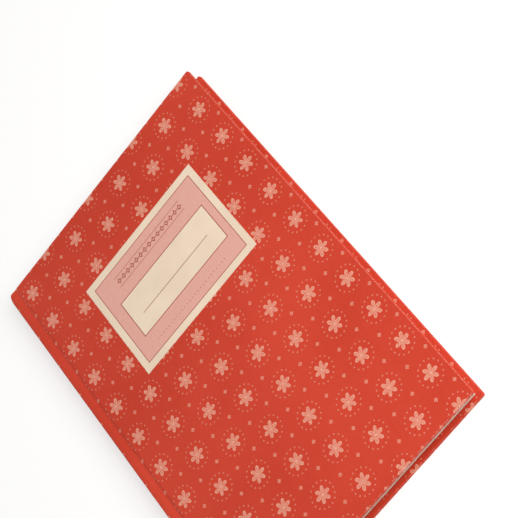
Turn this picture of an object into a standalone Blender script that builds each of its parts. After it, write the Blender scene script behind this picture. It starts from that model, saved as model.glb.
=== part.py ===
# Hard-cover correspondence register: sewn sections of leaves in a case of paper-covered boards.
# The book lies closed on its back cover: x runs from spine to fore-edge, y to the head, z up.
# All sizes are in metres.

import math

import bmesh
import bpy
from mathutils import Vector

# Case
COVER_WIDTH = 0.220  # spine face to fore-edge
COVER_HEIGHT = 0.330  # tail to head
BOARD_THICKNESS = 0.0022
BOARD_CORNER = 0.0012  # rounding of a board's two fore-edge corners
COVERING_THICKNESS = 0.0003
TURN_IN = 0.016  # covering folded over onto the inside of a board
JOINT_WIDTH = 0.0108  # spine face to the edge of a board
GROOVE_WIDTH = 0.0050  # pressed groove along each joint
GROOVE_DEPTH = 0.0013
GROOVE_TO_BOARD = 0.0003
SPINE_CARD_THICKNESS = 0.0012
SPINE_CARD_INSET = 0.0006  # card to the ends of the covered spine wall
HOLLOW = 0.0004  # air between the covered spine card and the back of the leaves

# Label on the front cover
LABEL_WIDTH = 0.122
LABEL_HEIGHT = 0.0865
LABEL_FROM_SPINE = 0.0535
LABEL_FROM_HEAD = 0.0525
LABEL_THICKNESS = 0.00015

# Leaves
SQUARE = 0.0040  # how far the covers stand out past the leaves
SECTION_COUNT = 10
FRONT_SECTIONS = 5  # sections that turn with the front cover
LEAVES_PER_SECTION = 10
LEAF_THICKNESS = 0.00007
LEAF_AIR = 0.00003  # air between two leaves of a section
FOLD_DEPTH = 0.0022  # closed part of a section behind its leaves
ENDPAPER_THICKNESS = 0.00018
PASTEDOWN_MARGIN = 0.0075  # covering left showing round a pastedown
PASTEDOWN_FROM_JOINT = 0.0008

# Back of the leaves
LINER_THICKNESS = 0.00020
LINER_MARGIN = 0.003  # leaves left bare beyond the liner at head and tail
MULL_THICKNESS = 0.00015
MULL_MARGIN = 0.004  # turn-ins to the mull, at head and tail
MULL_FLAP = 0.025  # mull carried onto each board
THREAD_RADIUS = 0.00015
THREAD_STATIONS = 5
THREAD_FROM_END = 0.032  # first and last station to the ends of the leaves
STITCH_SWING = 0.0009  # sideways step of the stitches from section to section
STITCH_POINTS = 4  # points along a thread for each section

# Clearances
PASTE_GAP = 0.00005  # pasted layers
LEAF_GAP = 0.00006  # loose layers
JOINT_GAP = 0.00010  # spine wall to the flaps of the covers

ARC_STEPS = 8
GROOVE_STEPS = 10

# Levels of the back cover's layers; the front cover mirrors them
spine_x = -COVER_WIDTH / 2
fore_x = COVER_WIDTH / 2
head_y = COVER_HEIGHT / 2
board_x = spine_x + JOINT_WIDTH
board_z = COVERING_THICKNESS + PASTE_GAP
turn_in_z = board_z + BOARD_THICKNESS + PASTE_GAP
pastedown_z = turn_in_z + max(COVERING_THICKNESS, MULL_THICKNESS) + PASTE_GAP
flyleaf_z = pastedown_z + ENDPAPER_THICKNESS + LEAF_GAP
block_z = flyleaf_z + ENDPAPER_THICKNESS + LEAF_GAP

# Block of leaves
leaf_pitch = LEAF_THICKNESS + LEAF_AIR
section_thickness = LEAVES_PER_SECTION * leaf_pitch - LEAF_AIR
section_pitch = section_thickness + LEAF_GAP
block_thickness = SECTION_COUNT * section_pitch - LEAF_GAP
book_thickness = block_thickness + 2 * block_z
leaf_fore_x = fore_x - SQUARE
leaf_head_y = head_y - SQUARE
block_top_z = block_z + block_thickness

# Layers between the covered spine and the folds of the sections
card_x = spine_x + COVERING_THICKNESS + PASTE_GAP
spine_flap_x = card_x + SPINE_CARD_THICKNESS + PASTE_GAP
hinge_x = spine_flap_x + COVERING_THICKNESS + HOLLOW
liner_x = hinge_x + PASTE_GAP
mull_x = liner_x + LINER_THICKNESS + PASTE_GAP
thread_x = mull_x + MULL_THICKNESS + PASTE_GAP + THREAD_RADIUS
fold_x = thread_x + THREAD_RADIUS + PASTE_GAP
mull_half = head_y - TURN_IN - MULL_MARGIN


def clear_scene():
    for item in list(bpy.data.objects):
        bpy.data.objects.remove(item, do_unlink=True)


def material(name, color, roughness):
    made = bpy.data.materials.new(name)
    made.use_nodes = True
    shader = made.node_tree.nodes["Principled BSDF"]
    shader.inputs["Base Color"].default_value = (*color, 1.0)
    shader.inputs["Roughness"].default_value = roughness
    shader.inputs["Metallic"].default_value = 0.0
    return made


def pivot(name, x, z, parent=None):
    empty = bpy.data.objects.new(name, None)
    empty.empty_display_size = JOINT_WIDTH
    bpy.context.collection.objects.link(empty)
    empty.location = (x, 0.0, z)
    hang_on(empty, parent)
    return empty


def hang_on(item, parent):
    if parent is not None:
        bpy.context.view_layer.update()
        item.parent = parent
        item.matrix_parent_inverse = parent.matrix_world.inverted()


def finish(name, shape, look, parent):
    bmesh.ops.recalc_face_normals(shape, faces=shape.faces)
    mesh = bpy.data.meshes.new(name)
    shape.to_mesh(mesh)
    shape.free()
    mesh.materials.append(look)
    item = bpy.data.objects.new(name, mesh)
    bpy.context.collection.objects.link(item)
    hang_on(item, parent)
    return item


def prism(points, sweep):
    # A closed outline swept along a straight line
    shape = bmesh.new()
    outline = shape.faces.new([shape.verts.new(point) for point in points])
    swept = bmesh.ops.extrude_face_region(shape, geom=[outline], use_keep_orig=True)
    moved = [part for part in swept["geom"] if isinstance(part, bmesh.types.BMVert)]
    bmesh.ops.translate(shape, verts=moved, vec=sweep)
    return shape


def along_y(outline, low_y, high_y):
    return prism([(x, low_y, z) for x, z in outline], Vector((0.0, high_y - low_y, 0.0)))


def along_z(outline, low_z, high_z):
    return prism([(x, y, low_z) for x, y in outline], Vector((0.0, 0.0, high_z - low_z)))


def rectangle(low_a, high_a, low_b, high_b):
    return [(low_a, low_b), (high_a, low_b), (high_a, high_b), (low_a, high_b)]


def arc(center_a, center_b, radius, start, end):
    steps = range(ARC_STEPS + 1)
    angles = [math.radians(start + (end - start) * step / ARC_STEPS) for step in steps]
    return [(center_a + radius * math.cos(turn), center_b + radius * math.sin(turn)) for turn in angles]


def board_outline(low_x, high_x, half_y, corner):
    # Plan of a board or its pocket: square at the joint, rounded at the fore-edge
    tail = arc(high_x - corner, -half_y + corner, corner, -90, 0)
    head = arc(high_x - corner, half_y - corner, corner, 0, 90)
    return [(low_x, -half_y), *tail, *head, (low_x, half_y)]


def layer(name, outline, low_z, thickness, look, parent, mirrored=False):
    # A flat layer of the back cover, or its mirror image in the front cover
    high_z = low_z + thickness
    if mirrored:
        low_z, high_z = book_thickness - high_z, book_thickness - low_z
    return finish(name, along_z(outline, low_z, high_z), look, parent)


def cut(item, cutter_shape, label):
    cutter = finish(item.name + label, cutter_shape, item.data.materials[0], None)
    cutter.hide_render = True
    cutter.display_type = "WIRE"
    removal = item.modifiers.new(label, "BOOLEAN")
    removal.operation = "DIFFERENCE"
    removal.solver = "EXACT"
    removal.object = cutter


def groove_rise(x):
    # Height of the pressed groove above the flat of the covering
    middle = board_x - GROOVE_TO_BOARD - GROOVE_WIDTH / 2
    return GROOVE_DEPTH * 0.5 * (1 + math.cos(2 * math.pi * (x - middle) / GROOVE_WIDTH))


def cover_paper(name, look, parent, mirrored):
    # Covering of one board: outer sheet with the joint's groove, wrapped round three edges and turned in
    groove_end = board_x - GROOVE_TO_BOARD
    steps = [groove_end - GROOVE_WIDTH * (1 - step / GROOVE_STEPS) for step in range(GROOVE_STEPS + 1)]
    outer_skin = [(spine_x, 0.0), *[(x, groove_rise(x)) for x in steps]]
    inner_skin = [(x, z + COVERING_THICKNESS) for x, z in outer_skin]
    top_z = turn_in_z + COVERING_THICKNESS
    low_z = COVERING_THICKNESS
    wrap_corner = BOARD_CORNER + PASTE_GAP + COVERING_THICKNESS

    def level(z):
        return book_thickness - z if mirrored else z

    def slab(outline, from_z, to_z):
        return along_z(outline, min(level(from_z), level(to_z)), max(level(from_z), level(to_z)))

    flap = [*outer_skin, (fore_x - TURN_IN, 0.0), (fore_x - TURN_IN, low_z), *reversed(inner_skin)]
    flap = [(x, level(z)) for x, z in flap]
    item = finish(name, along_y(flap, -head_y, head_y), look, parent)

    wrap = board_outline(board_x, fore_x, head_y, wrap_corner)
    wrapped = finish(name + "_wrap", slab(wrap, 0.0, top_z), look, None)
    wrapped.hide_render = True
    wrapped.display_type = "WIRE"
    union = item.modifiers.new("wrap", "BOOLEAN")
    union.operation = "UNION"
    union.solver = "EXACT"
    union.object = wrapped

    pocket_corner = BOARD_CORNER + PASTE_GAP
    pocket_fore = fore_x - COVERING_THICKNESS
    pocket_head = head_y - COVERING_THICKNESS
    pocket_x = board_x - GROOVE_TO_BOARD / 2
    pocket = board_outline(pocket_x, pocket_fore, pocket_head, pocket_corner)
    cut(item, slab(pocket, low_z, turn_in_z), "_pocket")
    window = rectangle(pocket_x, fore_x - TURN_IN, -head_y + TURN_IN, head_y - TURN_IN)
    cut(item, slab(window, turn_in_z - BOARD_THICKNESS / 2, top_z + BOARD_THICKNESS), "_window")
    return item


def spine_paper(look, parent):
    # Covering of the spine card: outer wall, wrapped over the card at head and tail
    inner_x = spine_flap_x + COVERING_THICKNESS
    wall_x = spine_x + COVERING_THICKNESS
    wrap_y = head_y - COVERING_THICKNESS
    turned_y = head_y - TURN_IN
    flap = [(inner_x, head_y), (inner_x, turned_y), (spine_flap_x, turned_y)]
    head_side = [*flap, (spine_flap_x, wrap_y), (wall_x, wrap_y)]
    tail_side = [(x, -y) for x, y in reversed(head_side)]
    outline = [(spine_x, -head_y), (spine_x, head_y), *head_side, *tail_side]
    low_z = COVERING_THICKNESS + JOINT_GAP
    return finish("spine_paper", along_z(outline, low_z, book_thickness - low_z), look, parent)


def spine_card(look, parent):
    half_y = head_y - COVERING_THICKNESS - PASTE_GAP
    outline = rectangle(card_x, card_x + SPINE_CARD_THICKNESS, -half_y, half_y)
    low_z = COVERING_THICKNESS + JOINT_GAP + SPINE_CARD_INSET
    return finish("spine_card", along_z(outline, low_z, book_thickness - low_z), look, parent)


def section(name, low_z, look, parent):
    # Folded sheets: a round fold at the back and separate leaves from there to the fore-edge
    radius = section_thickness / 2
    fold = arc(fold_x + radius, low_z + radius, radius, 270, 90)
    split_x = fold_x + radius + FOLD_DEPTH
    leaves = []
    for leaf in reversed(range(LEAVES_PER_SECTION)):
        bottom = low_z + leaf * leaf_pitch
        top = bottom + LEAF_THICKNESS
        if leaf < LEAVES_PER_SECTION - 1:
            leaves.append((split_x, top))
        leaves.append((leaf_fore_x, top))
        leaves.append((leaf_fore_x, bottom))
        if leaf > 0:
            leaves.append((split_x, bottom))
    return finish(name, along_y(fold + leaves, -leaf_head_y, leaf_head_y), look, parent)


def back_strip(name, low_x, thickness, half_y, look, parent):
    # A strip glued over the folds of all the sections
    outline = rectangle(low_x, low_x + thickness, block_z, block_top_z)
    return finish(name, along_y(outline, -half_y, half_y), look, parent)


def thread(name, points, look, parent):
    curve = bpy.data.curves.new(name, "CURVE")
    curve.dimensions = "3D"
    curve.bevel_depth = THREAD_RADIUS
    curve.bevel_resolution = 2
    curve.use_fill_caps = True
    line = curve.splines.new("POLY")
    line.points.add(len(points) - 1)
    for spot, place in zip(line.points, points):
        spot.co = (*place, 1.0)
    curve.materials.append(look)
    item = bpy.data.objects.new(name, curve)
    bpy.context.collection.objects.link(item)
    hang_on(item, parent)
    return item


def stitches(name, station_y, look, parent):
    # Link stitches of one station, stepping sideways from section to section
    steps = SECTION_COUNT * STITCH_POINTS
    points = []
    for step in range(steps + 1):
        share = step / steps
        swing = STITCH_SWING * math.sin(math.pi * share * SECTION_COUNT)
        points.append((thread_x, station_y + swing, block_z + block_thickness * share))
    return thread(name, points, look, parent)


def build():
    clear_scene()
    red_paper = material("red_cover_paper", (0.52, 0.035, 0.022), 0.55)
    grey_board = material("grey_board", (0.33, 0.30, 0.26), 0.95)
    spine_stock = material("spine_card_stock", (0.40, 0.35, 0.28), 0.95)
    label_paper = material("label_paper", (0.80, 0.52, 0.44), 0.60)
    end_paper = material("end_paper", (0.87, 0.80, 0.74), 0.85)
    leaf_paper = material("leaf_paper", (0.88, 0.81, 0.74), 0.85)
    gauze = material("mull_gauze", (0.78, 0.75, 0.66), 0.95)
    kraft = material("kraft_liner", (0.42, 0.29, 0.17), 0.90)
    linen = material("linen_thread", (0.82, 0.78, 0.68), 0.90)

    spine_pivot = pivot("spine_pivot", spine_x, 0.0)
    cover_pivot = pivot("cover_pivot", spine_x, book_thickness, spine_pivot)
    back_pivot = pivot("block_back_pivot", hinge_x, block_z)
    leaf_pivot = pivot("leaf_pivot", hinge_x, block_top_z, back_pivot)

    for side, mirrored, holder in (("back", False, None), ("front", True, cover_pivot)):
        edge = COVERING_THICKNESS + PASTE_GAP
        board = board_outline(board_x, fore_x - edge, head_y - edge, BOARD_CORNER)
        layer(side + "_board", board, board_z, BOARD_THICKNESS, grey_board, holder, mirrored)
        cover_paper(side + "_cover_paper", red_paper, holder, mirrored)
        flap = rectangle(board_x, board_x + MULL_FLAP, -mull_half, mull_half)
        layer(side + "_mull_flap", flap, turn_in_z, MULL_THICKNESS, gauze, holder, mirrored)
        pasted_y = head_y - PASTEDOWN_MARGIN
        pasted = rectangle(board_x + PASTEDOWN_FROM_JOINT, fore_x - PASTEDOWN_MARGIN, -pasted_y, pasted_y)
        layer(side + "_pastedown", pasted, pastedown_z, ENDPAPER_THICKNESS, end_paper, holder, mirrored)
        free = rectangle(fold_x, leaf_fore_x, -leaf_head_y, leaf_head_y)
        turning = leaf_pivot if mirrored else None
        layer(side + "_flyleaf", free, flyleaf_z, ENDPAPER_THICKNESS, end_paper, turning, mirrored)

    spine_card(spine_stock, spine_pivot)
    spine_paper(red_paper, spine_pivot)

    label_x = spine_x + LABEL_FROM_SPINE
    label_y = head_y - LABEL_FROM_HEAD
    label = rectangle(label_x, label_x + LABEL_WIDTH, label_y - LABEL_HEIGHT, label_y)
    layer("cover_label", label, book_thickness + PASTE_GAP, LABEL_THICKNESS, label_paper, cover_pivot)

    for number in range(1, SECTION_COUNT + 1):
        low_z = block_top_z - number * section_pitch + LEAF_GAP
        turning = leaf_pivot if number <= FRONT_SECTIONS else None
        section(f"section_{number:02d}", low_z, leaf_paper, turning)

    liner_half = leaf_head_y - LINER_MARGIN
    back_strip("liner", liner_x, LINER_THICKNESS, liner_half, kraft, back_pivot)
    back_strip("mull", mull_x, MULL_THICKNESS, mull_half, gauze, back_pivot)
    first_y = leaf_head_y - THREAD_FROM_END
    for station in range(THREAD_STATIONS):
        station_y = first_y * (1 - 2 * station / (THREAD_STATIONS - 1))
        stitches(f"thread_{station + 1}", station_y, linen, back_pivot)


build()
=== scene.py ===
import math

import bmesh
import bpy
from mathutils import Matrix, Vector


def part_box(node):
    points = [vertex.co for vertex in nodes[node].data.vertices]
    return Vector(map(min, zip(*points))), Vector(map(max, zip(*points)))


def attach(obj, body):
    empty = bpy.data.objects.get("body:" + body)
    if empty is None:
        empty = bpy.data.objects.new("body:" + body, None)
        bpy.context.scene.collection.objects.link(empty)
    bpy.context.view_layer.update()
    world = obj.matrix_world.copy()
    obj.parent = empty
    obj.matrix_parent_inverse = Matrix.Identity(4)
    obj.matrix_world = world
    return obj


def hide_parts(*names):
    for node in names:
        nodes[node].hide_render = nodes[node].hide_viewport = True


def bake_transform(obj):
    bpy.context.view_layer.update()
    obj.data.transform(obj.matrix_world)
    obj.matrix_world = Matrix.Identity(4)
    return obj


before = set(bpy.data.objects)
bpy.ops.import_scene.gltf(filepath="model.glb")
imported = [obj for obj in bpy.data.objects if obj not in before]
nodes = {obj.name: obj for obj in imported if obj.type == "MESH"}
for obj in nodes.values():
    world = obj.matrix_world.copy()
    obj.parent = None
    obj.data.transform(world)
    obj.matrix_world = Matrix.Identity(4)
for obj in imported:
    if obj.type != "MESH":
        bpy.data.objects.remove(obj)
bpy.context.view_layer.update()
print("frame loaded,", len(nodes), "nodes")

caseLow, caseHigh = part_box("back_cover_paper")
spineX, foreX = caseLow.x, caseHigh.x
headY, wallTop = caseHigh.y, caseHigh.z
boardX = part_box("back_board")[0].x
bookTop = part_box("front_cover_paper")[1].z
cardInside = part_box("spine_paper")[1].x
tiny = 1e-6            # points nearer than this count as one
sharpTurn = 1.0        # radians between two faces, at a fold or a cut edge
facingShare = 0.7      # of a normal, for a face that looks along an axis


def srgb(red, green, blue):
    # a colour as read off a screen, made linear
    parts = [value / 255 for value in (red, green, blue)]
    return tuple(p / 12.92 if p < 0.04045 else ((p + 0.055) / 1.055) ** 2.4 for p in parts) + (1.0,)


def wobble(seed):
    # a fixed scatter from 0 to 1
    return (math.sin(seed * 127.1 + 11.7) * 43758.5453) % 1.0


class Look:
    # one node material, with short ways to add to it
    def __init__(self, name):
        self.material = bpy.data.materials.new(name)
        self.material.use_nodes = True
        self.tree = self.material.node_tree
        self.shader = self.tree.nodes["Principled BSDF"]

    def put(self, socket, value):
        if isinstance(value, bpy.types.NodeSocket):
            self.tree.links.new(value, socket)
        else:
            socket.default_value = value

    def give(self, name, value):
        self.put(self.shader.inputs[name], value)

    def add(self, kind, **settings):
        made = self.tree.nodes.new("ShaderNode" + kind)
        for name, value in settings.items():
            setattr(made, name, value)
        return made

    def calc(self, operation, a, b=0.0, c=0.0):
        made = self.add("Math", operation=operation)
        for socket, value in zip(made.inputs, (a, b, c)):
            self.put(socket, value)
        return made.outputs[0]

    def ramp(self, value, start, end):
        # 0 at start, 1 at end, smooth between
        made = self.add("MapRange", interpolation_type="SMOOTHSTEP")
        self.put(made.inputs["Value"], value)
        made.inputs["From Min"].default_value = start
        made.inputs["From Max"].default_value = end
        return made.outputs[0]

    def mix(self, share, a, b):
        made = self.add("Mix", data_type="RGBA")
        self.put(made.inputs[0], share)
        self.put(made.inputs[6], a)      # 6, 7 and 2 are the node's colour sockets
        self.put(made.inputs[7], b)
        return made.outputs[2]

    def over(self, tone, colour, mask, share):
        # lays a share of a colour over a tone, where the mask is 1
        return self.mix(self.calc("MULTIPLY", mask, share), tone, colour)

    def axes(self, where):
        made = self.add("SeparateXYZ")
        self.put(made.inputs[0], where)
        return made.outputs

    def sheetPlace(self):
        return self.add("UVMap", uv_map="sheet").outputs[0]

    def ownPlace(self):
        return self.add("TexCoord").outputs["Object"]

    def noise(self, where, scale, detail=2.0, rough=0.5):
        made = self.add("TexNoise")
        self.put(made.inputs["Vector"], where)
        made.inputs["Scale"].default_value = scale
        made.inputs["Detail"].default_value = detail
        made.inputs["Roughness"].default_value = rough
        return made.outputs["Fac"]

    def stretch(self, where, x, y, z=1.0):
        made = self.add("Mapping")
        self.put(made.inputs["Vector"], where)
        made.inputs["Scale"].default_value = (x, y, z)
        return made.outputs[0]

    def bump(self, height, strength, distance):
        made = self.add("Bump")
        made.inputs["Strength"].default_value = strength
        made.inputs["Distance"].default_value = distance
        self.put(made.inputs["Height"], height)
        self.give("Normal", made.outputs[0])

    def absolute(self, value):
        return self.calc("ABSOLUTE", value)

    def away(self, value, place):
        return self.absolute(self.calc("SUBTRACT", value, place))

    def distance(self, x, y):
        squares = self.calc("ADD", self.calc("MULTIPLY", x, x), self.calc("MULTIPLY", y, y))
        return self.calc("SQRT", squares)

    def fromMiddle(self, count, step):
        # length from the middle of one repeat of a pattern
        share = self.calc("SUBTRACT", self.calc("FRACT", count), 0.5)
        return self.calc("MULTIPLY", share, step)

    def within(self, value, low, high, soft):
        return self.calc("MULTIPLY", self.ramp(value, low - soft, low + soft),
                         self.ramp(value, high + soft, high - soft))

    def panel(self, x, y, left, right, top, bottom, soft):
        return self.both(self.within(x, left, right, soft), self.within(y, top, bottom, soft))

    def strokeAt(self, value, place, half):
        return self.ramp(self.away(value, place), half * 1.5, half * 0.5)

    def either(self, *masks):
        whole = masks[0]
        for mask in masks[1:]:
            whole = self.calc("MAXIMUM", whole, mask)
        return whole

    def both(self, *masks):
        whole = masks[0]
        for mask in masks[1:]:
            whole = self.calc("MULTIPLY", whole, mask)
        return whole


# printed covering paper
redPrint = {
    "red": srgb(213, 71, 50),
    "deepRed": srgb(202, 62, 42),
    "brightRed": srgb(226, 85, 61),
    "pale": srgb(243, 180, 156),
    "worn": srgb(240, 205, 190),
    "column": 0.0270,          # from one column of rosettes to the next
    "row": 0.0300,
    "petal": 0.0062,
    "petalNeck": 0.38,         # share of its length at which a petal meets the next one
    "petalRim": 0.0007,
    "petalShade": 0.34,        # how much a petal darkens inside its rim
    "heart": 0.0011,
    "ring": 0.0092,
    "beads": 16,
    "beadSize": 0.00075,
    "beadStrength": 0.5,
    "lozenge": 0.0017,         # small mark in the gaps of the lattice
    "lozengeStrength": 0.55,
    "printStrength": 0.95,
    "softEdge": 0.00035,
    "softRim": 0.0003,
    "edgeWear": 0.0008,        # half width of the rubbed line along head, tail and fore-edge
    "spineWear": 0.0010,
    "sheen": 0.15,
}


def rosettePrint(look, along, up):
    # half-drop lattice of rosettes in bead rings, one column on the middle of the spine
    d = redPrint
    column = look.calc("ADD", look.calc("DIVIDE", along, d["column"]), 0.5)
    odd = look.calc("FLOORED_MODULO", look.calc("FLOOR", column), 2.0)
    row = look.calc("MULTIPLY_ADD", odd, 0.5, look.calc("DIVIDE", up, d["row"]))
    x = look.fromMiddle(column, d["column"])
    y = look.fromMiddle(row, d["row"])
    reach = look.distance(x, y)
    turn = look.calc("ARCTAN2", y, x)

    lobe = look.absolute(look.calc("COSINE", look.calc("MULTIPLY", turn, 3.0)))
    neck = d["petal"] * d["petalNeck"]
    edge = look.calc("MULTIPLY_ADD", lobe, d["petal"] - neck, neck)
    inPetal = look.calc("SUBTRACT", edge, reach)
    inRim = look.ramp(inPetal, d["petalRim"], d["petalRim"] + d["softRim"])
    shade = look.calc("MULTIPLY", inRim, d["petalShade"])
    petals = look.calc("SUBTRACT", look.ramp(inPetal, 0.0, d["softEdge"]), shade)
    heart = look.ramp(reach, d["heart"], d["heart"] - d["softRim"])

    beadTurn = 2 * math.pi / d["beads"]
    beadSide = look.fromMiddle(look.calc("MULTIPLY", turn, 1 / beadTurn), beadTurn * d["ring"])
    beadReach = look.distance(beadSide, look.calc("SUBTRACT", reach, d["ring"]))
    beads = look.ramp(beadReach, d["beadSize"], d["beadSize"] - d["softEdge"])

    gapX = look.away(look.absolute(x), d["column"] / 3)
    gapY = look.away(look.absolute(y), d["row"] / 2)
    lozenges = look.ramp(look.calc("ADD", gapX, gapY), d["lozenge"] * 1.12, d["lozenge"] * 0.88)
    return look.either(petals, heart, look.both(beads, d["beadStrength"]),
                       look.both(lozenges, d["lozengeStrength"]))


def redPaper():
    d = redPrint
    look = Look("redCoverPaper")
    place = look.sheetPlace()
    along, up, _ = look.axes(place)

    # uneven ink
    cloud = look.noise(place, scale=9.0, detail=3.0, rough=0.55)
    fleck = look.noise(place, scale=320.0, detail=4.0, rough=0.7)
    ink = look.noise(place, scale=900.0, detail=3.0, rough=0.6)
    motif = look.both(rosettePrint(look, along, up), look.ramp(ink, 0.2, 0.55))
    tone = look.mix(look.ramp(cloud, 0.30, 0.75), d["deepRed"], d["red"])
    tone = look.over(tone, d["brightRed"], look.ramp(fleck, 0.4, 0.8), 0.22)
    tone = look.over(tone, d["pale"], motif, d["printStrength"])

    # pale wear along the folded edges and a few scuffs
    foreFold = foreX - spineX + bookTop / 2
    fromHead = look.away(look.absolute(up), headY + 0.0002)
    fromFore = look.away(look.absolute(along), foreFold + 0.0002)
    fromSpine = look.away(look.absolute(along), bookTop / 2 - 0.0004)
    edgeLine = look.ramp(look.calc("MINIMUM", fromHead, fromFore), d["edgeWear"], 0.0001)
    spineLine = look.ramp(fromSpine, d["spineWear"], 0.0001)
    rub = look.noise(place, scale=620.0, detail=6.0, rough=0.8)
    wear = look.either(look.both(edgeLine, look.ramp(rub, 0.47, 0.64)),
                       look.both(spineLine, look.ramp(rub, 0.52, 0.68), 0.6))
    streak = look.noise(look.stretch(place, 1.0, 0.16), scale=420.0, detail=4.0, rough=0.8)
    patch = look.noise(place, scale=14.0)
    scuff = look.both(look.ramp(streak, 0.70, 0.78), look.ramp(patch, 0.52, 0.7))
    tone = look.over(tone, d["worn"], wear, 0.6)
    tone = look.over(tone, d["worn"], scuff, 0.30)
    look.give("Base Color", tone)

    grain = look.noise(place, scale=2600.0, detail=3.0, rough=0.6)
    smudge = look.ramp(look.noise(place, scale=26.0, detail=4.0, rough=0.65), 0.35, 0.7)
    rough = look.calc("MULTIPLY_ADD", smudge, 0.10, look.calc("MULTIPLY_ADD", grain, 0.16, 0.50))
    look.give("Roughness", look.calc("MULTIPLY_ADD", wear, 0.2, rough))
    look.give("Specular IOR Level", d["sheen"])
    look.bump(look.calc("MULTIPLY_ADD", cloud, 0.6, grain), strength=0.22, distance=0.00012)
    return look.material


# pasted label: cream sheet, tinted frame, writing window, a bead ornament and a row of dots
labelPrint = {
    "cream": srgb(247, 226, 202),
    "deepCream": srgb(240, 218, 194),
    "tint": srgb(231, 170, 156),
    "fibreTint": srgb(240, 193, 178),
    "line": srgb(165, 70, 62),
    "writingInk": srgb(150, 84, 74),
    "soil": srgb(205, 150, 130),
    "soilWidth": 0.0007,
    "margin": 0.0056,
    "frameLine": 0.00055,
    "window": (0.0153, 0.1100, 0.0305, 0.0645),   # left, right, top, bottom, from the label's top left
    "windowLine": 0.00065,
    "writingLine": (0.0255, 0.0990, 0.0505),      # start, end, level
    "writingHalf": 0.00032,
    "ornamentLevel": 0.0170,
    "ornamentInset": 0.0235,
    "ornamentStep": 0.0050,
    "ornamentLeaf": (0.0010, 0.0024),             # from a leaf's middle to its hollow and its tip
    "ornamentBead": (0.00062, 0.00048),           # where a bead's soft edge starts and ends
    "ornamentRule": 0.0042,                       # from the ornament's middle to the rules beside it
    "ruleHalf": 0.00022,
    "dotsFromFoot": 0.0125,
    "dotsInset": 0.0225,
    "dotStep": 0.0030,
    "dot": (0.00062, 0.00042),
    "softEdge": 0.00008,
}


def labelOrnament(look, x, y, width):
    # a row of small leaves and beads between two fine rules
    d = labelPrint
    step, level, inset = d["ornamentStep"], d["ornamentLevel"], d["ornamentInset"]
    across = look.fromMiddle(look.calc("DIVIDE", look.calc("SUBTRACT", x, inset), step), step)
    upward = look.calc("SUBTRACT", y, level)
    leafShape = look.calc("MULTIPLY_ADD", look.absolute(across), 1.25, look.absolute(upward))
    leafRow = look.within(leafShape, *d["ornamentLeaf"], 0.0001)
    sideways = look.calc("SUBTRACT", step / 2, look.absolute(across))
    beads = look.ramp(look.distance(sideways, upward), *d["ornamentBead"])
    rules = [look.strokeAt(y, level + side * d["ornamentRule"], d["ruleHalf"]) for side in (-1, 1)]
    return look.both(look.within(x, inset, width - inset, 0.0002), look.either(leafRow, beads, *rules))


def labelDots(look, x, y, width, height):
    d = labelPrint
    dotSide = look.fromMiddle(look.calc("DIVIDE", x, d["dotStep"]), d["dotStep"])
    dotUp = look.calc("SUBTRACT", y, height - d["dotsFromFoot"])
    dots = look.ramp(look.distance(dotSide, dotUp), *d["dot"])
    return look.both(look.within(x, d["dotsInset"], width - d["dotsInset"], 0.0001), dots)


def labelPaper():
    d = labelPrint
    low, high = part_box("cover_label")
    width, height = high.x - low.x, high.y - low.y
    look = Look("labelPrint")
    place = look.ownPlace()
    ownX, ownY, _ = look.axes(place)
    x = look.calc("SUBTRACT", ownX, low.x)
    y = look.calc("SUBTRACT", high.y, ownY)

    def framed(left, right, top, bottom, line):
        # a panel and what lies inside its outline
        return [look.panel(x, y, left + inset, right - inset, top + inset, bottom - inset, d["softEdge"])
                for inset in (0.0, line)]

    margin = d["margin"]
    frameIn, frameCore = framed(margin, width - margin, margin, height - margin, d["frameLine"])
    windowIn, windowCore = framed(*d["window"], d["windowLine"])
    start, end, level = d["writingLine"]
    writing = look.both(look.within(x, start, end, 0.0001), look.strokeAt(y, level, d["writingHalf"]))
    ornament = labelOrnament(look, x, y, width)
    dots = labelDots(look, x, y, width, height)

    fibre = look.noise(look.stretch(place, 1.0, 0.35), scale=700.0, detail=4.0, rough=0.65)
    cloud = look.noise(place, scale=45.0)
    cream = look.mix(look.ramp(cloud, 0.3, 0.75), d["deepCream"], d["cream"])
    tint = look.over(d["tint"], d["fibreTint"], look.ramp(fibre, 0.35, 0.75), 0.35)
    tone = look.mix(frameIn, cream, d["line"])
    tone = look.mix(frameCore, tone, tint)
    tone = look.mix(windowIn, tone, d["line"])
    tone = look.mix(windowCore, tone, cream)
    tone = look.over(tone, d["line"], ornament, 0.85)
    tone = look.over(tone, d["line"], dots, 0.55)
    tone = look.over(tone, d["writingInk"], writing, 0.8)
    soilWidth = d["soilWidth"]
    rim = look.either(look.ramp(x, soilWidth, 0.0), look.ramp(x, width - soilWidth, width),
                      look.ramp(y, soilWidth, 0.0), look.ramp(y, height - soilWidth, height))
    grime = look.noise(place, scale=300.0, detail=4.0, rough=0.7)
    tone = look.over(tone, d["soil"], look.both(rim, look.ramp(grime, 0.45, 0.65)), 0.55)
    look.give("Base Color", tone)
    look.give("Roughness", look.calc("MULTIPLY_ADD", fibre, 0.18, 0.50))
    look.give("Specular IOR Level", 0.35)
    look.bump(look.calc("MULTIPLY_ADD", frameCore, -0.25, fibre), strength=0.20, distance=0.0001)
    return look.material


# ruled writing leaves
pageTable = {
    "paper": srgb(248, 232, 219),
    "shade": srgb(244, 226, 212),
    "fibre": srgb(222, 200, 184),
    "ink": srgb(152, 112, 103),
    "header": srgb(231, 190, 178),
    "topMargin": 0.0150,
    "headerHeight": 0.0110,
    "rows": 26,
    "rowHeight": 0.0108,
    "rowLine": 0.00040,        # half widths of the lines
    "columnLine": 0.00023,
    "frameLine": 0.00030,
    "rightColumns": (0.0120, 0.0330, 0.1020, 0.1360, 0.1960),   # along the opened leaf, from the fold
    "leftColumns": (0.0120, 0.0620, 0.1240, 0.1780, 0.2000),
    "softEdge": 0.0001,
}


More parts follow.
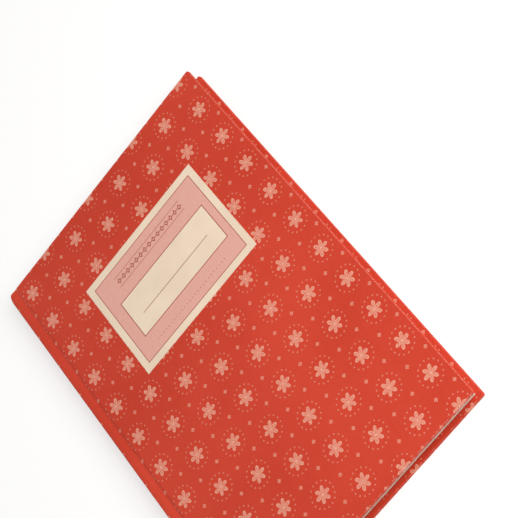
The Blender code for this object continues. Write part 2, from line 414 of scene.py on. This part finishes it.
def ruledPaper(name, columns):
    d = pageTable
    look = Look(name)
    place = look.sheetPlace()
    out, up, _ = look.axes(place)
    y = look.calc("SUBTRACT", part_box("section_01")[1].y, up)
    top = d["topMargin"]
    body = top + d["headerHeight"]
    foot = body + d["rows"] * d["rowHeight"]
    acrossTable = look.within(out, columns[0], columns[-1], d["softEdge"])
    downTable = look.within(y, top, foot, d["softEdge"])
    header = look.both(acrossTable, look.within(y, top, body, d["softEdge"]))

    row = look.calc("ADD", look.calc("DIVIDE", look.calc("SUBTRACT", y, body), d["rowHeight"]), 0.5)
    fromRow = look.absolute(look.fromMiddle(row, d["rowHeight"]))
    rows = look.both(look.ramp(fromRow, d["rowLine"], d["rowLine"] * 0.4),
                     look.within(y, body - 0.001, foot + 0.001, d["softEdge"]), acrossTable)
    rules = [look.both(look.strokeAt(out, column, d["columnLine"]), downTable) for column in columns]
    caps = [look.both(look.strokeAt(y, level, d["frameLine"]), acrossTable) for level in (top, body, foot)]
    worn = look.ramp(look.noise(place, scale=1400.0), 0.22, 0.45)
    ink = look.both(look.either(rows, *rules, *caps), worn)

    fibre = look.noise(look.stretch(place, 1.0, 0.5), scale=900.0, detail=4.0, rough=0.65)
    cloud = look.noise(place, scale=9.0)
    tone = look.mix(look.ramp(cloud, 0.25, 0.8), d["shade"], d["paper"])
    tone = look.over(tone, d["fibre"], look.ramp(fibre, 0.5, 0.8), 0.25)
    tone = look.over(tone, d["header"], header, 0.8)
    tone = look.over(tone, d["ink"], ink, 0.8)
    look.give("Base Color", tone)
    look.give("Roughness", look.calc("MULTIPLY_ADD", fibre, 0.12, 0.76))
    look.give("Specular IOR Level", 0.25)
    look.bump(fibre, strength=0.18, distance=0.00010)
    return look.material


def leafEdgePaper():
    # cut edges of the leaves: each sheet has its own tone
    dark, light, dusty = srgb(206, 183, 163), srgb(243, 229, 214), srgb(190, 160, 138)
    look = Look("leafEdges")
    sheet = look.add("Attribute", attribute_name="sheetTone").outputs["Fac"]
    place = look.sheetPlace()
    streak = look.noise(look.stretch(place, 30.0, 60.0), scale=8.0, detail=3.0, rough=0.6)
    tone = look.over(look.mix(sheet, dark, light), dusty, look.ramp(streak, 0.45, 0.8), 0.4)
    look.give("Base Color", tone)
    look.give("Roughness", 0.88)
    look.give("Specular IOR Level", 0.2)
    return look.material


# unprinted endpapers; the turned-in covering shows through as a faint step
endLook = {
    "shade": srgb(231, 214, 200),
    "paper": srgb(243, 231, 219),
    "fibre": srgb(222, 202, 188),
    "turnIn": srgb(232, 190, 176),
    "stepWidth": 0.0010,
}


def endPaper(name, showThrough):
    d = endLook
    look = Look(name)
    place = look.ownPlace()
    x, y, _ = look.axes(place)
    start = covering["turnIn"] + d["stepWidth"] / 2
    end = covering["turnIn"] - d["stepWidth"] / 2
    step = look.either(look.ramp(x, foreX - start, foreX - end),
                       look.ramp(look.absolute(y), headY - start, headY - end))
    fibre = look.noise(look.stretch(place, 1.0, 0.4), scale=800.0, detail=4.0, rough=0.65)
    cloud = look.noise(place, scale=18.0, detail=3.0)
    tone = look.mix(look.ramp(cloud, 0.3, 0.75), d["shade"], d["paper"])
    tone = look.over(tone, d["turnIn"], step, showThrough)
    tone = look.over(tone, d["fibre"], look.ramp(fibre, 0.5, 0.8), 0.25)
    look.give("Base Color", tone)
    look.give("Roughness", look.calc("MULTIPLY_ADD", fibre, 0.12, 0.74))
    look.give("Specular IOR Level", 0.28)
    relief = look.calc("MULTIPLY_ADD", step, 1.5, look.calc("MULTIPLY", fibre, 0.5))
    look.bump(relief, strength=0.30, distance=0.00015)
    return look.material


def pulpBoard(name, dark, light, speck):
    # grey board and card: layered pulp with darker specks
    look = Look(name)
    place = look.ownPlace()
    pulp = look.noise(place, scale=420.0, detail=5.0, rough=0.7)
    layers = look.noise(look.stretch(place, 40.0, 40.0, 2400.0), scale=1.0, detail=3.0, rough=0.6)
    specks = look.ramp(look.noise(place, scale=1500.0), 0.66, 0.72)
    tone = look.over(look.mix(pulp, dark, light), dark, layers, 0.35)
    tone = look.over(tone, speck, specks, 0.5)
    look.give("Base Color", tone)
    look.give("Roughness", look.calc("MULTIPLY_ADD", pulp, 0.1, 0.85))
    look.give("Specular IOR Level", 0.2)
    look.bump(look.calc("ADD", pulp, layers), strength=0.35, distance=0.0002)
    return look.material


def kraftPaper():
    dark, light, gluey = srgb(142, 104, 70), srgb(188, 150, 108), srgb(120, 84, 54)
    look = Look("kraftLiner")
    place = look.ownPlace()
    fibre = look.noise(look.stretch(place, 1.0, 0.12), scale=1300.0, detail=5.0, rough=0.7)
    glue = look.noise(place, scale=120.0, detail=3.0)
    tone = look.over(look.mix(fibre, dark, light), gluey, look.ramp(glue, 0.5, 0.75), 0.4)
    look.give("Base Color", tone)
    look.give("Roughness", look.calc("MULTIPLY_ADD", glue, -0.25, 0.9))
    look.bump(fibre, strength=0.3, distance=0.00012)
    return look.material


# gauze on the back of the leaves: an open plain weave stiffened with glue
gauze = {
    "yarn": srgb(228, 220, 200),
    "between": srgb(176, 160, 134),
    "fuzz": srgb(206, 194, 168),
    "weave": 0.0011,           # from one yarn to the next
    "thickness": 0.00013,
    "gridAcross": 0.0012,
    "gridDown": 40,
}


def gauzeCloth():
    d = gauze
    look = Look("mullGauze")
    place = look.sheetPlace()
    along, up, _ = look.axes(place)
    turns = [look.calc("MULTIPLY", value, math.pi / d["weave"]) for value in (along, up)]
    warp, weft = [look.ramp(look.absolute(look.calc("SINE", turn)), 0.55, 0.85) for turn in turns]
    yarn = look.either(warp, weft)
    fuzz = look.noise(place, scale=3000.0, detail=3.0, rough=0.7)
    tone = look.over(look.mix(yarn, d["between"], d["yarn"]), d["fuzz"], fuzz, 0.3)
    look.give("Base Color", tone)
    look.give("Roughness", look.calc("MULTIPLY_ADD", fuzz, 0.1, 0.85))
    look.give("Sheen Weight", 0.2)
    look.bump(look.calc("MULTIPLY_ADD", fuzz, 0.3, yarn), strength=0.5, distance=0.0001)
    return look.material


def linenThread():
    look = Look("linenThread")
    twist = look.noise(look.stretch(look.ownPlace(), 1.0, 1.0, 0.4), scale=6000.0, detail=3.0, rough=0.6)
    look.give("Base Color", look.mix(twist, srgb(196, 182, 152), srgb(238, 228, 206)))
    look.give("Roughness", look.calc("MULTIPLY_ADD", twist, 0.15, 0.75))
    look.give("Sheen Weight", 0.25)
    look.bump(twist, strength=0.4, distance=0.00005)
    return look.material


redCover = redPaper()
labelLook = labelPaper()
rectoLook = ruledPaper("ruledRight", pageTable["rightColumns"])
versoLook = ruledPaper("ruledLeft", pageTable["leftColumns"])
edgeLook = leafEdgePaper()
gauzeLook = gauzeCloth()
threadLook = linenThread()
print("paper, cloth and thread looks made")


def putInScene(name, shape, *looks):
    mesh = bpy.data.meshes.new(name)
    shape.to_mesh(mesh)
    shape.free()
    for look in looks:
        mesh.materials.append(look)
    made = bpy.data.objects.new(name, mesh)
    bpy.context.scene.collection.objects.link(made)
    return made


def addThickness(made, name, thickness, offset):
    wall = made.modifiers.new(name, "SOLIDIFY")
    wall.thickness = thickness
    wall.offset = offset
    return wall


def fitGrid(shape, across, down, lowX, highX, lowY, highY):
    # a flat grid on the given rectangle at z 0
    made = bmesh.ops.create_grid(shape, x_segments=across, y_segments=down, size=0.5)["verts"]
    xs = [v.co.x for v in made]
    ys = [v.co.y for v in made]
    for v in made:
        v.co.x = lowX + (v.co.x - min(xs)) / (max(xs) - min(xs)) * (highX - lowX)
        v.co.y = lowY + (v.co.y - min(ys)) / (max(ys) - min(ys)) * (highY - lowY)


def standUp(shape, x, z):
    # turns a flat shape upright, its own x upwards, and moves it
    bmesh.ops.rotate(shape, verts=shape.verts, cent=(0, 0, 0), matrix=Matrix.Rotation(-math.pi / 2, 3, "Y"))
    bmesh.ops.translate(shape, verts=shape.verts, vec=(x, 0, z))


def roundOff(shape, edges, offset, segments):
    bmesh.ops.bevel(shape, geom=edges, offset=offset, segments=segments, profile=0.5,
                    affect="EDGES", material=-1)


def isOpen(edge):
    return len(edge.link_faces) == 1


def pull(shape, chain):
    # extrudes a chain of open edges and gives its new points and edges
    pulled = bmesh.ops.extrude_edge_only(shape, edges=chain)["geom"]
    fresh = [part for part in pulled if isinstance(part, bmesh.types.BMVert)]
    lip = [part for part in pulled if isinstance(part, bmesh.types.BMEdge)
           and part.verts[0] in fresh and part.verts[1] in fresh]
    return fresh, lip


def draw(shape, chain, dx, dy, dz):
    fresh, lip = pull(shape, chain)
    bmesh.ops.translate(shape, verts=fresh, vec=(dx, dy, dz))
    return lip


def putInOrder(shape):
    # makes the shape again, point by point and face by face in the order of their places, because
    # bevels, extrusions and cuts leave an order that changes from run to run
    places = sorted(tuple(v.co) for v in shape.verts)
    rank = {place: number for number, place in enumerate(places)}
    rings = []
    for face in shape.faces:
        ring = [rank[tuple(v.co)] for v in face.verts]
        first = ring.index(min(ring))
        rings.append(ring[first:] + ring[:first])
    shape.clear()
    points = [shape.verts.new(place) for place in places]
    for ring in sorted(rings):
        shape.faces.new([points[number] for number in ring])
    shape.normal_update()


# covering of one board with its joint and its half of the spine
covering = {
    "paper": 0.00028,
    "turnIn": 0.0160,
    "cornerRound": 0.00155,
    "edgeRound": 0.00045,
    "spineRound": 0.0015,
    "grooveWidth": 0.0076,
    "grooveDepth": 0.0009,
    "grooveToBoard": 0.0003,
    "grooveLean": 0.66,            # below 1 the groove is steep beside the board and long towards the spine
    "grooveSteps": 16,
    "flatSteps": 5,
    "wallLevels": (0.0018, 0.0022, 0.0027, 0.0045),
    "foldGap": 0.00018,            # from a turned-in edge to the sheet that it lies on
    "cardGap": 0.0007,             # more of it where the sheet turns in over the spine card
    "boardGap": 0.0001,
    "bendReach": 0.0026,
    "endReach": 0.0082,            # length at head and tail over which the spine's edges round off
    "endCuts": (0.0, 0.3, 0.55, 0.75, 0.9),
    "endInset": 0.0026,
    "insetAcross": 0.0080,         # how far from the spine, and up its wall, the rounding fades out
    "insetUp": 0.0050,
    "grooveRunOut": 0.55,          # share of the groove's depth that is gone at head and tail
}


def grooveRise(share):
    bent = share ** covering["grooveLean"]
    return covering["grooveDepth"] * 0.5 * (1 - math.cos(2 * math.pi * bent))


def wrapBoard(shape):
    # sheet under the board, up its three outer walls and turned in over it
    d = covering
    fitGrid(shape, 1, 1, boardX, foreX, -headY, headY)
    bmesh.ops.recalc_face_normals(shape, faces=shape.faces)
    lifted = bmesh.ops.extrude_face_region(shape, geom=shape.faces[:], use_keep_orig=True)["geom"]
    upper = [part for part in lifted if isinstance(part, bmesh.types.BMVert)]
    bmesh.ops.translate(shape, verts=upper, vec=(0, 0, wallTop))
    bmesh.ops.recalc_face_normals(shape, faces=shape.faces)
    roof = max(shape.faces, key=lambda face: face.calc_center_median().z)
    bmesh.ops.inset_individual(shape, faces=[roof], thickness=d["turnIn"], use_even_offset=True)
    for v in roof.verts:
        if v.co.x < 0:
            v.co.x = boardX      # there is no turn-in at the joint
    atJoint = [f for f in shape.faces if all(v.co.x < boardX + tiny for v in f.verts)]
    bmesh.ops.delete(shape, geom=[roof, *atJoint], context="FACES")

    # rounded fore-edge corners, then the folds along three edges
    upright = [e for e in shape.edges if abs(e.verts[0].co.z - e.verts[1].co.z) > wallTop / 2
               and e.verts[0].co.x > foreX - tiny and len(e.link_faces) == 2]
    roundOff(shape, upright, d["cornerRound"], 4)
    folds = [e for e in shape.edges if len(e.link_faces) == 2 and e.calc_face_angle() > sharpTurn]
    roundOff(shape, folds, d["edgeRound"], 3)


def drawJoint(shape):
    # joint with its pressed groove, round spine edge, half of the spine wall
    d = covering
    chain = [e for e in shape.edges if isOpen(e)
             and all(v.co.x < boardX + tiny and v.co.z < d["edgeRound"] + tiny for v in e.verts)]
    grooveStart = boardX - d["grooveToBoard"]
    stops = [(grooveStart, 0.0)]
    for step in range(1, d["grooveSteps"] + 1):
        share = step / d["grooveSteps"]
        stops.append((grooveStart - d["grooveWidth"] * share, grooveRise(share)))
    roundX = spineX + d["spineRound"]
    flat = stops[-1][0] - roundX
    stops += [(roundX + flat * (1 - step / d["flatSteps"]), 0.0) for step in range(1, d["flatSteps"] + 1)]
    x, z = boardX, 0.0
    for nextX, nextZ in stops:
        chain = draw(shape, chain, nextX - x, 0, nextZ - z)
        x, z = nextX, nextZ
    corner = [*chain, *dict.fromkeys(v for e in chain for v in e.verts)]
    spun = bmesh.ops.spin(shape, geom=corner, cent=(roundX, 0, d["spineRound"]), axis=(0, 1, 0),
                          angle=math.pi / 2, steps=6, use_merge=False, use_duplicate=False)["geom_last"]
    chain = [part for part in spun if isinstance(part, bmesh.types.BMEdge)]
    level = d["spineRound"]
    for target in (*d["wallLevels"], bookTop / 2):
        chain = draw(shape, chain, 0, 0, target - level)
        level = target


def turnInEnds(shape):
    # turned in at head and tail over the joint, the round spine edge and the spine card
    d = covering
    hub = Vector((spineX + d["spineRound"], 0, d["spineRound"]))
    for side in (-1, 1):
        rim = [e for e in shape.edges if isOpen(e)
               and all(v.co.y * side > headY - tiny and v.co.x < boardX + tiny for v in e.verts)
               and min(v.co.x for v in e.verts) < boardX - tiny]
        fresh, lip = pull(shape, rim)
        for v in fresh:
            if v.co.x > hub.x - tiny:
                v.co.z += d["foldGap"]
            elif v.co.z > hub.z - tiny:
                v.co.x = cardInside
            else:
                inward = Vector((hub.x - v.co.x, 0, hub.z - v.co.z)).normalized()
                v.co += inward * (d["foldGap"] + d["cardGap"] * inward.x)
        draw(shape, lip, 0, -side * d["turnIn"], 0)
    roofZ = wallTop - d["edgeRound"]
    boardEnd = [e for e in shape.edges if isOpen(e)
                and all(abs(v.co.x - boardX) < tiny and v.co.z > roofZ - tiny for v in e.verts)]
    draw(shape, boardEnd, -d["boardGap"], 0, d["edgeRound"] + d["foldGap"] - wallTop)
    bmesh.ops.remove_doubles(shape, verts=shape.verts, dist=tiny)
    bmesh.ops.recalc_face_normals(shape, faces=shape.faces)


def cutEnds(shape):
    # lines across the joint and the spine near head and tail, which can then be rounded
    d = covering
    for side in (-1, 1):
        for share in d["endCuts"]:
            soft = [f for f in shape.faces if all(v.co.x < boardX + tiny for v in f.verts)]
            points = dict.fromkeys(v for f in soft for v in f.verts)
            edges = dict.fromkeys(e for f in soft for e in f.edges)
            bmesh.ops.bisect_plane(shape, geom=[*points, *edges, *soft], dist=tiny, plane_no=(0, 1, 0),
                                   plane_co=(0, side * (headY - d["endReach"] * (1 - share)), 0))
    broad = max(shape.faces, key=lambda face: face.calc_area())
    if broad.normal.z > 0:
        bmesh.ops.reverse_faces(shape, faces=shape.faces)


def unroll(shape, front):
    # the unrolled sheet, in metres, with 0 at the middle of the spine
    roundX = spineX + covering["spineRound"]
    sheet = shape.loops.layers.uv.new("sheet")
    for face in shape.faces:
        face.smooth = True
        facing = face.normal
        middle = face.calc_center_median()
        side = 1 if middle.y > 0 else -1
        turnedIn = middle.z > wallTop - 10 * tiny and facing.z > facingShare and middle.x > boardX
        atFore = foreX - middle.x < headY - abs(middle.y)
        for loop in face.loops:
            x, y, z = loop.vert.co
            u, v = x, y
            if x < roundX + tiny:
                u = x - z
            if turnedIn and atFore:
                u = foreX + wallTop + foreX - x
            elif turnedIn:
                v = side * (2 * headY + wallTop - abs(y))
            elif abs(facing.y) > facingShare:
                v = side * (headY + z)
            elif facing.x > facingShare:
                u = foreX + z
            run = u - spineX + bookTop / 2
            loop[sheet].uv = (run if front else -run, v)


def roundEnds(shape):
    # towards head and tail the groove runs out and the spine's edge rounds off
    d = covering
    for v in shape.verts:
        near = max(0.0, (abs(v.co.y) - headY) / d["endReach"] + 1)
        if v.co.x > boardX - tiny or near == 0:
            continue
        inGroove = (boardX - d["grooveToBoard"] - v.co.x) / d["grooveWidth"]
        if 0 < inGroove < 1:
            v.co.z -= d["grooveRunOut"] * near * near * grooveRise(inGroove)
        fromSpine = min(1.0, max(0.0, v.co.x - spineX) / d["insetAcross"])
        fromFace = min(1.0, max(0.0, v.co.z - d["spineRound"]) / d["insetUp"])
        arc = 1 - math.sqrt(max(0.0, 1 - near * near))
        v.co.x += d["endInset"] * arc * (1 - fromSpine) * (1 - fromFace)


def makeCovering(name, front):
    shape = bmesh.new()
    wrapBoard(shape)
    drawJoint(shape)
    turnInEnds(shape)
    cutEnds(shape)
    putInOrder(shape)
    unroll(shape, front)
    roundEnds(shape)
    if front:
        bmesh.ops.scale(shape, vec=(1, 1, -1), verts=shape.verts)
        bmesh.ops.translate(shape, vec=(0, 0, bookTop), verts=shape.verts)
        bmesh.ops.reverse_faces(shape, faces=shape.faces)
    made = putInScene(name, shape, redCover)
    addThickness(made, "paper", covering["paper"], -1)
    even = made.modifiers.new("evenShade", "WEIGHTED_NORMAL")
    even.weight = 100
    return made


# stiff card in the spine, its corners clipped where the covering rounds off
spineCard = {
    "cornerClip": 0.0066,
    "dark": srgb(150, 132, 106),
    "light": srgb(190, 172, 142),
    "speck": srgb(104, 90, 70),
}


def makeSpineCard():
    d = spineCard
    low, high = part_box("spine_card")
    shape = bmesh.new()
    fitGrid(shape, 1, 1, low.z, high.z, low.y, high.y)
    bmesh.ops.bevel(shape, geom=shape.verts[:], offset=d["cornerClip"], segments=1, profile=0.5,
                    affect="VERTICES", material=-1)
    standUp(shape, (low.x + high.x) / 2, 0)
    made = putInScene("spineCard", shape, pulpBoard("spineCard", d["dark"], d["light"], d["speck"]))
    addThickness(made, "card", high.x - low.x, 0)
    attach(made, "spine")
    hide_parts("spine_card")


makeSpineCard()
backCovering = makeCovering("backCovering", False)
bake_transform(backCovering)
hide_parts("back_cover_paper", "spine_paper")
frontCovering = makeCovering("frontCovering", True)
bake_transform(frontCovering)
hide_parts("front_cover_paper", "spine_paper")
print("covering wrapped round the case")


# sections of folded sheets
leaves = {
    "sections": 10,
    "turning": 5,             # sections that turn over with the front cover
    "sheets": 5,              # folded sheets in a section
    "paper": 0.00007,
    "pitch": 0.00010,
    "ragged": 0.00035,        # how far the cut edges step in and out
    "bend": (0.014, 0.120),   # length that curves out of the fold, next to a cover and at the opening
    "quickTurn": 0.35,        # below 1 a leaf turns soon after the fold and then runs out slowly
    "curveSteps": 30,
    "curveCrowding": 1.8,     # above 1 the steps are closer at the fold
    "flatSteps": 8,
    "foldSteps": 4,
    "heightSteps": 4,
}


def leafBend(number, j, side):
    # grows with the count of leaves between this one and its cover
    d = leaves
    onFront = number <= d["turning"]
    inSection = 2 * d["sheets"]
    rank = (number - 1 if onFront else d["sections"] - number) * inSection
    rank += j if (side > 0) == onFront else inSection - 1 - j
    atCover, atOpening = d["bend"]
    return atCover + (atOpening - atCover) * rank / (d["turning"] * inSection - 1)


def leafPath(bend, flat):
    # steps from the middle of the fold to the cut edge: length out of the fold and turn round it
    d = leaves
    path = [(0.0, math.pi / 2 * (1 - step / d["foldSteps"])) for step in range(d["foldSteps"])]
    path += [(bend * (step / d["curveSteps"]) ** d["curveCrowding"], 0.0)
             for step in range(d["curveSteps"] + 1)]
    path += [(bend + flat * step / d["flatSteps"], 0.0) for step in range(1, d["flatSteps"] + 1)]
    return path


def openedLengths(path, bend):
    # length along the opened leaf at each step, for its print
    runs = [0.0]
    for (start, _), (end, _) in zip(path, path[1:]):
        shares = [min(1.0, out / bend) ** leaves["quickTurn"] for out in (start, end)]
        turns = [math.pi / 2 * share * share * (3 - 2 * share) for share in shares]
        runs.append(runs[-1] + math.hypot(end - start, (start + end) / 2 * (turns[1] - turns[0])))
    return runs


def makeLeaf(number, j, side):
    # half of a folded sheet, from the middle of its fold to its cut edge
    d = leaves
    low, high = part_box(f"section_{number:02d}")
    half = (high.z - low.z) / 2
    middle = (high.z + low.z) / 2
    foldX = low.x + half
    radius = half - d["paper"] / 2 - j * d["pitch"]
    bend = leafBend(number, j, side)
    flat = high.x - foldX - bend
    path = leafPath(bend, flat)
    runs = openedLengths(path, bend)
    count = len(path) - 1
    seed = number * 10 + j
    shape = bmesh.new()
    sheet = shape.loops.layers.uv.new("sheet")
    tone = shape.verts.layers.float.new("sheetTone")
    along = {}
    for v in bmesh.ops.create_grid(shape, x_segments=count, y_segments=d["heightSteps"], size=0.5)["verts"]:
        step = round((v.co.x + 0.5) * count)
        out, turn = path[step]
        along[v] = runs[step]
        rise = v.co.y * 2
        trim = d["ragged"] * wobble(seed + side * 0.37) * out / (bend + flat)
        reachY = high.y - d["ragged"] * wobble(seed + (3.81 if rise > 0 else 0.71))
        v[tone] = wobble(seed * 3.7 + side * 1.9)
        v.co = (foldX + out - trim - radius * math.sin(turn), rise * reachY,
                middle + side * radius * math.cos(turn))
    for face in shape.faces:
        face.smooth = True
        face.material_index = 1 if side > 0 else 0
        for loop in face.loops:
            loop[sheet].uv = (along[loop.vert], loop.vert.co.y)
    if side < 0:
        bmesh.ops.reverse_faces(shape, faces=shape.faces)
    name = f"leaf_{number:02d}_{j}_{'upper' if side > 0 else 'lower'}"
    leaf = putInScene(name, shape, versoLook, rectoLook, versoLook, edgeLook, edgeLook)

    # the points are spread out while the leaf's transform is baked in, and then go back to their places
    places = [v.co.x for v in leaf.data.vertices]
    for v in leaf.data.vertices:
        share = (v.co.x - foldX) / bend
        if 0 < share < 1:
            v.co.x = foldX + bend * share ** d["quickTurn"]
    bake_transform(leaf)
    for v, place in zip(leaf.data.vertices, places):
        v.co.x = place
    return leaf


def makeSection(number):
    # every leaf has its own bend; the leaves of a section are then one piece, with crisp cut edges
    parts = [makeLeaf(number, j, side) for j in range(leaves["sheets"]) for side in (1, -1)]
    made = parts[0]
    with bpy.context.temp_override(active_object=made, selected_editable_objects=parts):
        bpy.ops.object.join()
    made.name = made.data.name = f"leaves_{number:02d}"
    shape = bmesh.new()
    shape.from_mesh(made.data)
    bmesh.ops.remove_doubles(shape, verts=shape.verts, dist=tiny)
    shape.to_mesh(made.data)
    body = addThickness(made, "leaf", leaves["paper"], 0)
    body.material_offset = 1          # the other side of the leaf
    body.material_offset_rim = 3      # its cut edges
    with bpy.context.temp_override(object=made, active_object=made):
        bpy.ops.object.modifier_apply(modifier=body.name)
    shape.clear()
    shape.from_mesh(made.data)
    for edge in shape.edges:
        edge.smooth = edge.calc_face_angle(0.0) < sharpTurn
    shape.to_mesh(made.data)
    shape.free()
    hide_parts(f"section_{number:02d}")


for number in range(1, leaves["sections"] + 1):
    makeSection(number)
print("ten sections of leaves folded and nested")


def makeGauze(name, node, body):
    d = gauze
    low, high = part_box(node)
    size = high - low
    middle = (low + high) / 2
    upright = size.z > size.x
    wide = size.z if upright else size.x
    shape = bmesh.new()
    fitGrid(shape, max(4, round(wide / d["gridAcross"])), d["gridDown"], -wide / 2, wide / 2, low.y, high.y)
    sheet = shape.loops.layers.uv.new("sheet")
    for face in shape.faces:
        for loop in face.loops:
            loop[sheet].uv = (loop.vert.co.x, loop.vert.co.y)
    if upright:
        standUp(shape, middle.x, middle.z)
    else:
        bmesh.ops.translate(shape, verts=shape.verts, vec=(middle.x, 0, middle.z))
    made = putInScene(name, shape, gauzeLook)
    addThickness(made, "cloth", d["thickness"], 0)
    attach(made, body)
    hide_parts(node)


makeGauze("mullStrip", "mull", "block_back")
makeGauze("backMullFlap", "back_mull_flap", "back")
makeGauze("frontMullFlap", "front_mull_flap", "front_cover")


# sewing: two plies twisted along each row of link stitches
sewing = {
    "stations": 5,
    "plyRadius": 0.000075,
    "plyOffset": 0.000065,
    "turnsPerMetre": 1400,
    "swing": 0.0009,
    "links": 10,
    "points": 160,
}


def makeThread(number):
    d = sewing
    low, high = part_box(f"thread_{number}")
    middle = (low + high) / 2
    curve = bpy.data.curves.new(f"sewing_{number}", "CURVE")
    curve.dimensions = "3D"
    curve.bevel_depth = d["plyRadius"]
    curve.bevel_resolution = 1
    curve.use_fill_caps = True
    for ply in range(2):
        line = curve.splines.new("POLY")
        line.points.add(d["points"])
        for step in range(d["points"] + 1):
            share = step / d["points"]
            z = low.z + (high.z - low.z) * share
            turn = 2 * math.pi * d["turnsPerMetre"] * (z - low.z) + ply * math.pi
            x = middle.x + d["plyOffset"] * math.cos(turn)
            y = middle.y + d["swing"] * math.sin(math.pi * share * d["links"])
            line.points[step].co = (x, y + d["plyOffset"] * math.sin(turn), z, 1)
    curve.materials.append(threadLook)
    made = bpy.data.objects.new(f"sewing_{number}", curve)
    bpy.context.scene.collection.objects.link(made)
    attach(made, "block_back")
    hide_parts(f"thread_{number}")


for number in range(1, sewing["stations"] + 1):
    makeThread(number)
print("gauze and sewing on the back of the leaves")


# finishes of the pieces that keep their own shape
greyBoard = pulpBoard("greyBoard", srgb(132, 124, 112), srgb(176, 168, 154), srgb(88, 82, 76))
dressed = {
    "back_board": greyBoard,
    "front_board": greyBoard,
    "cover_label": labelLook,
    "back_pastedown": endPaper("backEndPaper", 0.18),
    "front_pastedown": endPaper("frontEndPaper", 0.22),
    "back_flyleaf": endPaper("backFlyleaf", 0.18),
    "front_flyleaf": endPaper("frontFlyleaf", 0.18),
    "liner": kraftPaper(),
}
for name, look in dressed.items():
    nodes[name].data.materials.clear()
    nodes[name].data.materials.append(look)
print("boards, label, endpapers and liner dressed")


# floor, light and camera
studio = {
    "floorHalf": 6,
    "floorDrop": 0.0003,
    "floorTone": 0.93,
    "shadeShare": 0.5,         # how much of the floor's own shading the camera sees near the book
    "shadeFade": (0.45, 1.5),  # from the book's middle
    "floorGlow": 0.6,          # near the book, 1 far from it
    "sky": 0.31,
    "keyLight": {"place": (0.72, -0.38, 0.76), "size": 0.8, "power": 11.5, "tone": (1.0, 0.97, 0.93)},
    "lowFill": {"place": (-1.05, 1.00, 0.48), "size": 1.2, "power": 4.4, "tone": (1.0, 0.98, 0.96)},
}


def seenWhole(tree):
    # 1 for the rays that should meet a white background
    path = tree.nodes.new("ShaderNodeLightPath")
    whole = path.outputs["Is Camera Ray"]
    for other in ("Is Glossy Ray", "Is Transmission Ray"):
        larger = tree.nodes.new("ShaderNodeMath")
        larger.operation = "MAXIMUM"
        tree.links.new(whole, larger.inputs[0])
        tree.links.new(path.outputs[other], larger.inputs[1])
        whole = larger.outputs[0]
    return whole


def makeFloor():
    d = studio
    half = d["floorHalf"]
    shape = bmesh.new()
    fitGrid(shape, 1, 1, -half, half, -half, half)
    look = Look("studioFloor")
    x, y, _ = look.axes(look.ownPlace())
    far = look.ramp(look.distance(x, y), *d["shadeFade"])
    seen = seenWhole(look.tree)
    shown = look.calc("MULTIPLY", look.calc("SUBTRACT", 1.0, far), d["shadeShare"])
    look.give("Base Color", look.mix(seen, (d["floorTone"],) * 3 + (1.0,), shown))
    look.give("Roughness", 0.9)
    look.give("Specular IOR Level", 0.0)
    look.give("Emission Color", (1.0, 1.0, 1.0, 1.0))
    glow = look.calc("MULTIPLY_ADD", far, 1 - d["floorGlow"], d["floorGlow"])
    look.give("Emission Strength", look.calc("MULTIPLY", seen, glow))
    floor = putInScene("floor", shape, look.material)
    floor.location.z = -d["floorDrop"]


def makeLight(name):
    d = studio[name]
    lamp = bpy.data.lights.new(name, "AREA")
    lamp.shape = "SQUARE"
    lamp.size = d["size"]
    lamp.energy = d["power"]
    lamp.color = d["tone"]
    made = bpy.data.objects.new(name, lamp)
    made.location = d["place"]
    made.rotation_mode = "QUATERNION"
    made.rotation_quaternion = (-Vector(d["place"])).to_track_quat("-Z", "Y")
    bpy.context.scene.collection.objects.link(made)


def makeSky():
    world = bpy.data.worlds.new("studio")
    world.use_nodes = True
    tree = world.node_tree
    sky = tree.nodes["Background"]
    sky.inputs["Color"].default_value = (1.0, 1.0, 1.0, 1.0)
    level = tree.nodes.new("ShaderNodeMapRange")
    level.inputs["To Min"].default_value = studio["sky"]
    level.inputs["To Max"].default_value = 1.0
    tree.links.new(seenWhole(tree), level.inputs["Value"])
    tree.links.new(level.outputs[0], sky.inputs["Strength"])
    bpy.context.scene.world = world


makeFloor()
makeLight("keyLight")
makeLight("lowFill")
makeSky()

shot = {
    "place": (0.39402, -0.61222, 0.99873),
    "right": (0.613590, -0.552758, -0.563884),
    "up": (0.739837, 0.652008, 0.165911),
    "sensor": 36,
    "lens": 1800 / 518 * 36,      # 1800 pixels in a picture 518 high
}
lensData = bpy.data.cameras.new("camera")
lensData.lens = shot["lens"]
lensData.sensor_width = shot["sensor"]
lensData.clip_start = 0.01
lensData.clip_end = 50
camera = bpy.data.objects.new("camera", lensData)
bpy.context.scene.collection.objects.link(camera)
right = Vector(shot["right"])
up = Vector(shot["up"])
turned = Matrix((right, up, right.cross(up))).transposed().to_4x4()
camera.matrix_world = Matrix.Translation(shot["place"]) @ turned
bpy.context.scene.camera = camera
bpy.context.scene.view_settings.view_transform = "Standard"
print("floor, lights and camera placed")

bpy.context.view_layer.update()
